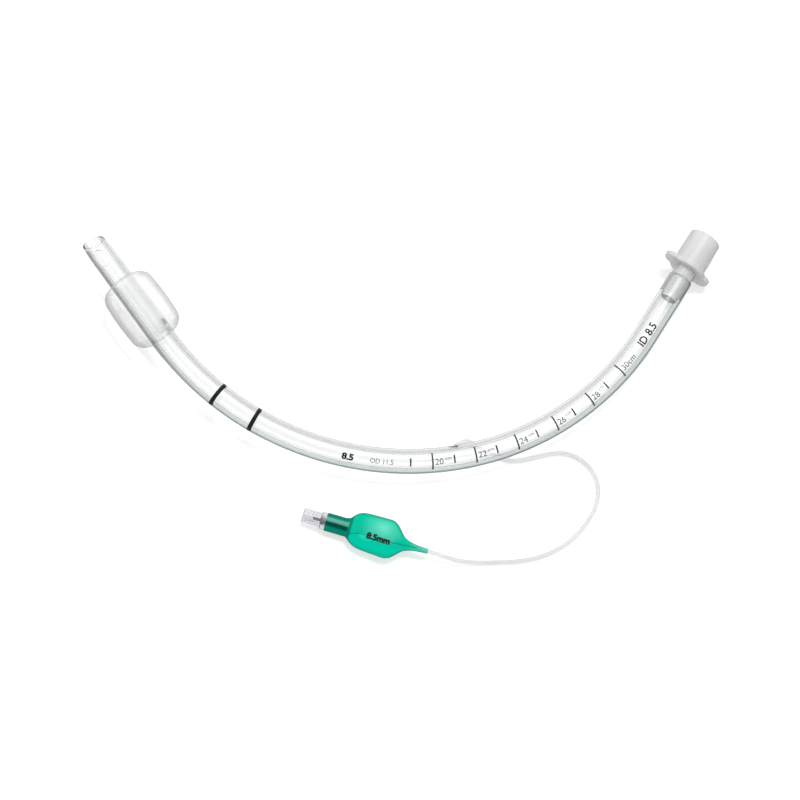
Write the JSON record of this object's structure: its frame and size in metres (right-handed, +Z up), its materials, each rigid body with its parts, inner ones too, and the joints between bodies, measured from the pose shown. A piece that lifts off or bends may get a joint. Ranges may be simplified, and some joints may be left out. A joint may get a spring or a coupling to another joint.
{
  "type": "endotracheal tube",
  "caption": "Cuffed curved airway tube with slanted tip, side eye, 15 mm connector, inflation line, pilot balloon and spring valve.",
  "frame": {"origin": "on the floor, under the middle of the box round the tube, cuff and connector", "axes": "+X along the bow's chord towards the connector, +Y to the inside of the bow, +Z up as the tube lies on its side"},
  "size_m": [0.2952, 0.162, 0.0261],
  "materials": {
    "clear_pvc": "clear, glossy",
    "cuff_film": "thin translucent film",
    "connector_plastic": "translucent, semi-gloss",
    "line_pvc": "clear, glossy",
    "balloon_film": "translucent green, glossy",
    "valve_plastic": "translucent, semi-gloss",
    "stem_plastic": "satin",
    "seal_rubber": "matte",
    "spring_steel": "drawn wire"
  },
  "bodies": {
    "tube": {"tube_shaft": "clear_pvc", "cuff": "cuff_film", "connector": "connector_plastic", "inflation_line": "line_pvc", "pilot_balloon": "balloon_film", "valve_housing": "valve_plastic", "valve_retainer": "valve_plastic", "valve_spring": "spring_steel"},
    "valve_poppet": {"valve_stem": "stem_plastic", "valve_seal": "seal_rubber"}
  },
  "joints": [
    {"name": "valve_push", "type": "slide", "parent": "tube", "child": "valve_poppet", "axis": [0.9373, -0.3468, 0.0347], "range_m": [0, 0.0015], "stiffness_N_per_m": 400, "springref_m": -0.001, "deforming": ["valve_spring"]}
  ]
}
